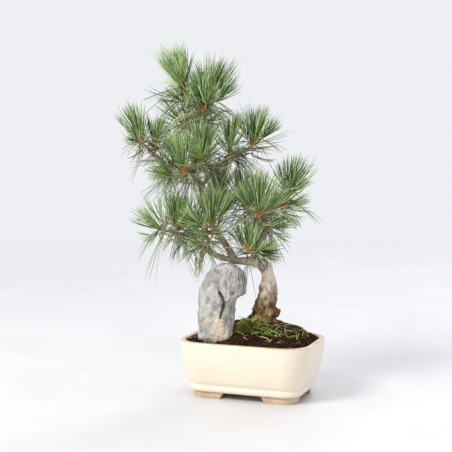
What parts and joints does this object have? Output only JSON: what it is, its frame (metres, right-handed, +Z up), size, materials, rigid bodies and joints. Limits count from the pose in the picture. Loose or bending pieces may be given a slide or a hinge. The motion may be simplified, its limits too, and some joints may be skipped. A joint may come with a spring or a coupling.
{
  "type": "bonsai tree in a pot",
  "caption": "Five-needle pine bonsai arching over an upright stone, planted in soil in a rectangular glazed ceramic pot with four feet.",
  "frame": {"origin": "on the table, under the centre of the whole object's box; the pot stands to the right of it, because the crown leans left", "axes": "+Z up; X along the pot's length, with the lean of the crown towards -X; -Y is the planting's front"},
  "size_m": [0.245, 0.172, 0.4413],
  "materials": {
    "glazed_ceramic": "gloss",
    "screen_plastic": "matte",
    "wire": "satin",
    "soil": "matte",
    "stone": "matte",
    "bark": "matte",
    "moss": "matte",
    "needles": "satin"
  },
  "bodies": {
    "root": {"pot": "glazed_ceramic", "drain_screen_left": "screen_plastic", "drain_screen_right": "screen_plastic", "screen_clip_left": "wire", "screen_clip_right": "wire", "soil": "soil", "stone": "stone", "trunk_and_branches": "bark", "moss_trunk_foot": "moss", "moss_right": "moss", "moss_left": "moss", "grass": "moss", "needles_top_left": "needles", "needles_top_centre": "needles", "needles_top_right": "needles", "needles_top_back": "needles", "needles_upper_left": "needles", "needles_left_end": "needles", "needles_left_inner": "needles", "needles_left_skirt": "needles", "needles_middle_left": "needles", "needles_middle_left_skirt": "needles", "needles_middle_front": "needles", "needles_middle_skirt": "needles", "needles_right_middle": "needles", "needles_right_middle_end": "needles", "needles_right_middle_skirt": "needles", "needles_far_right": "needles", "needles_far_right_low": "needles", "needles_right_front": "needles", "needles_right_back": "needles", "needles_low_centre": "needles", "needles_low_right": "needles", "needles_low_right_skirt": "needles", "needles_low_left_end": "needles", "needles_low_left_up": "needles", "needles_low_left_down": "needles", "needles_low_left_hang": "needles", "needles_low_left_middle": "needles", "needles_low_inner": "needles", "needles_right_low": "needles", "needles_back_top": "needles", "needles_back_upper": "needles", "needles_back_left": "needles", "needles_back_middle": "needles", "needles_back_right": "needles", "needles_back_low": "needles"}
  },
  "joints": []
}
